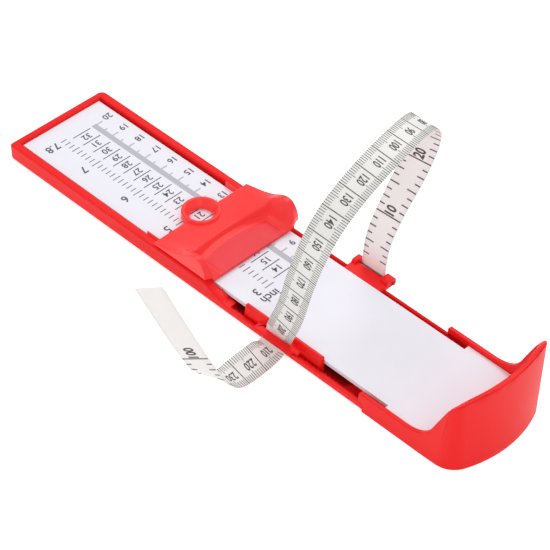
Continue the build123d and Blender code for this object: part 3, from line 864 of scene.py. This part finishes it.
class GAUGE_OT_slider(bpy.types.Operator):
    """Toe slider: ramp, toe wall and wings, the reading ring and the runners"""
    bl_idname = "gauge.slider"
    bl_label = "Toe slider"

    def execute(self, context):
        points, faces = joined([self.deck(), self.ring(), self.runners()])
        slider = put_mesh("toe_slider_moulded", points * MM, faces)
        finer = slider.modifiers.new("smooth skin", "SUBSURF")
        finer.levels = 2
        finer.render_levels = 2
        colour = context.scene.gauge_colours.clear_red
        thick = clear_red("clear polystyrene red", colour)
        thin = clear_red("clear polystyrene red, thin",
                         context.scene.gauge_colours.thin_red, 0.88)
        finish_piece(slider, (thick, thin), "slider", "clear_red_plastic", "toe_slider")
        centres = np.array([face.center for face in slider.data.polygons]) / MM
        floor = (centres[:, 0] > -19.5) & (np.abs(centres[:, 1]) < 19.0) & (centres[:, 2] < 8.5)
        slider.data.polygons.foreach_set("material_index", floor.astype(np.int32))
        return {"FINISHED"}

    def deck(self):
        """The deck as a cage over two parameters, place across the gauge and place along a closed
        section. Along the top: from the front edge the ramp rises by the 1.6th power to the toe
        wall's crest, drops to the floor and runs level to the heel edge. Crest place and height
        follow the 2.2nd power of the distance from the middle. Past the wings' feet the section
        turns smoothly into the wing's outline, and its heel end draws back by 1.3 mm towards the
        outer faces. The front edge follows the ring's circle where it crosses it. At the near
        side the deck ends 1 mm further in and leaves a gap above the rim."""
        arc = RING_REACH * np.sin(np.radians(np.arange(-90, 91, 15))) + RING_Y
        near = np.array([8.6, 11.0, 14.0, 17.0, 18.8, 19.6, 20.5, 21.4, 22.2, 22.9, 24.0, 25.2,
                         25.8, 26.0])
        across = np.concatenate([-near[::-1], arc, near])
        size = np.abs(across)
        inside = np.abs(across - RING_Y) < RING_REACH
        bend = np.sqrt(np.clip(RING_REACH ** 2 - (across - RING_Y) ** 2, 0.0, None))
        front = np.where(inside, RING_X + bend, FRONT_X)
        share = np.clip(size / 19.3, 0.0, 1.0) ** 2.2
        crest_x, crest_z = -23.7 + 3.5 * share, 10.6 + 3.0 * share
        wing = smooth_step((size - 17.6) / 5.6)
        low = np.where(size < 21.65, UNDERSIDE, np.where(across < 0, 9.35, 8.8))
        ramp = np.array([0.0, 0.02, 0.15, 0.35, 0.55, 0.75, 0.9, 0.985])
        ramp_x = front[:, None] + (crest_x - front)[:, None] * ramp
        whole = (ramp_x - FRONT_X) / (crest_x[:, None] - FRONT_X)
        ramp_z = FRONT_HIGH + (crest_z[:, None] - FRONT_HIGH) * np.clip(whole, 0, 1) ** 1.6
        rest_x = np.stack([crest_x + 0.15, crest_x + 0.45, crest_x + 0.9, crest_x + 3.0,
                           np.full_like(crest_x, -14.0), np.full_like(crest_x, -11.0),
                           np.full_like(crest_x, -8.6), np.full_like(crest_x, -7.6),
                           np.full_like(crest_x, HEEL_X)], -1)
        floor_z = np.full_like(crest_z, FLOOR_TOP)
        rest_z = np.stack([crest_z - 0.3, floor_z + 0.15] + [floor_z] * 7, -1)
        x = np.concatenate([ramp_x, rest_x], 1)
        z = np.concatenate([ramp_z, rest_z], 1)
        outline = np.interp(x, WING[:, 0], WING[:, 1])
        z = z + (outline - z) * wing[:, None]
        ease = 1.3 * smooth_step((size - 22.0) / 4.0)[:, None] * (x > -12.0)
        x = x - ease * (x + 12.0) / (HEEL_X + 12.0)
        place = across + np.where(across < 0, 1.0, 0.0) * smooth_step((size - 21.0) / 5.0)
        y = np.broadcast_to(place[:, None], x.shape)
        top = np.stack([x, y, z], -1)
        bottom = np.stack([x, y, np.broadcast_to(low[:, None], x.shape)], -1)
        rows, columns = x.shape
        ring = np.concatenate([top, bottom[:, ::-1]], 1)
        faces = grid_faces(rows, 2 * columns, wrap=True)
        first = np.arange(columns - 1)
        pair = 2 * columns - 1 - first
        for start in (0, (rows - 1) * 2 * columns):
            faces += (np.stack([first, first + 1, pair - 1, pair], -1) + start).tolist()
        return ring.reshape(-1, 3), faces

    def ring(self):
        """The reading ring: a closed wall section, radius and height, turned about the ring's
        axis."""
        wall = np.array([(8.2, 7.1), (8.2, 7.4), (8.2, 10.6), (8.1, 11.0), (7.8, 11.2), (7.1, 11.2),
                         (6.75, 11.1), (6.4, 10.7), (4.9, 8.7), (4.7, 8.3), (4.7, 7.4), (4.7, 7.1)])
        turn = np.radians(np.arange(0, 360, 15))
        x = RING_X + wall[:, 0] * np.cos(turn)[:, None]
        y = RING_Y + wall[:, 0] * np.sin(turn)[:, None]
        z = np.broadcast_to(wall[:, 1], x.shape)
        points = np.stack([x, y, z], -1)
        points = np.concatenate([points, points[:1]])
        return points.reshape(-1, 3), grid_faces(len(turn) + 1, len(wall), wrap=True)

    def runners(self):
        """Two runners: an L section of neck and foot, across and height, carried along X."""
        section = np.array([(21.1, 9.2), (21.1, 8.9), (21.1, 3.9), (21.1, 3.7), (21.3, 3.7),
                            (23.0, 3.7), (23.2, 3.7), (23.2, 3.9), (23.2, 4.7), (23.2, 4.9),
                            (23.0, 4.9), (21.9, 4.9), (21.7, 4.9), (21.7, 5.1), (21.7, 8.9),
                            (21.7, 9.2)])
        along = np.array([-45.6, -45.4, -44.9, -12.7, -12.2, -12.0])
        parts = []
        for side in (-1, 1):
            x = np.broadcast_to(along[:, None], (len(along), len(section)))
            y = np.broadcast_to(side * section[:, 0], x.shape)
            z = np.broadcast_to(section[:, 1], x.shape)
            faces = grid_faces(len(along), len(section), wrap=True)
            last = (len(along) - 1) * len(section)
            neck = [0, 1, 14, 15]
            for start in (0, last):
                faces += [[start + index for index in quad] for quad in (
                    neck, [1, 2, 12, 13], [1, 13, 14], [2, 3, 4, 12], [4, 5, 11, 12],
                    [5, 6, 7, 11], [7, 8, 11], [8, 9, 10, 11])]
            parts.append((np.stack([x, y, z], -1).reshape(-1, 3), faces))
        return joined(parts)


# ---------------------------------------------------------------- tape carriage
class GAUGE_OT_carriage(bpy.types.Operator):
    """Tape carriage and its pin"""
    bl_idname = "gauge.carriage"
    bl_label = "Carriage"

    def execute(self, context):
        sizes = context.scene.gauge_sizes
        carriage = merged_copy("tape_carriage", "tape_carriage_moulded")
        sharp = sharp_edges(carriage.data)
        ends = edge_ends(carriage.data) / MM
        long = np.linalg.norm(ends[:, 0] - ends[:, 1], axis=1) > 0.9
        weights = np.where(sharp & long & np.all(ends[:, :, 2] > 5.0, axis=1), 1.0, 0.0)
        round_edges(carriage, weights, sizes.edge_round, segments=2)
        finish_piece(carriage, (bpy.data.materials["moulded polystyrene red"],), "carriage",
                     "red_plastic", "tape_carriage")
        steel = drawn_steel(context.scene.gauge_colours.steel)
        for material_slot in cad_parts["tape_pin"].material_slots:
            material_slot.material = steel
        return {"FINISHED"}


class GAUGE_PT_panel(bpy.types.Panel):
    """Buttons for the gauge's pieces, and its sizes and colours"""
    bl_idname = "GAUGE_PT_panel"
    bl_label = "Foot Gauge"
    bl_space_type = "VIEW_3D"
    bl_region_type = "UI"
    bl_category = "Foot Gauge"

    def draw(self, context):
        for operator in OPERATORS:
            self.layout.operator(operator.bl_idname)
        for group in (context.scene.gauge_sizes, context.scene.gauge_colours):
            for name in group.__annotations__:
                self.layout.prop(group, name)


OPERATORS = (GAUGE_OT_stage, GAUGE_OT_tape, GAUGE_OT_tray, GAUGE_OT_plate, GAUGE_OT_cup,
             GAUGE_OT_slider, GAUGE_OT_carriage)
CLASSES = (GaugeSizes, GaugeColours, *OPERATORS, GAUGE_PT_panel)


def register():
    for kind in CLASSES:
        bpy.utils.register_class(kind)
    bpy.types.Scene.gauge_sizes = bpy.props.PointerProperty(type=GaugeSizes)
    bpy.types.Scene.gauge_colours = bpy.props.PointerProperty(type=GaugeColours)


def unregister():
    del bpy.types.Scene.gauge_colours
    del bpy.types.Scene.gauge_sizes
    for kind in reversed(CLASSES):
        bpy.utils.unregister_class(kind)


def main():
    """Builds every piece in order."""
    register()
    moulded_red(bpy.context.scene.gauge_colours.red)
    bpy.ops.gauge.stage()
    bpy.ops.gauge.tape()
    bpy.ops.gauge.tray()
    bpy.ops.gauge.plate()
    bpy.ops.gauge.cup()
    bpy.ops.gauge.slider()
    bpy.ops.gauge.carriage()


if __name__ == "__main__":
    main()
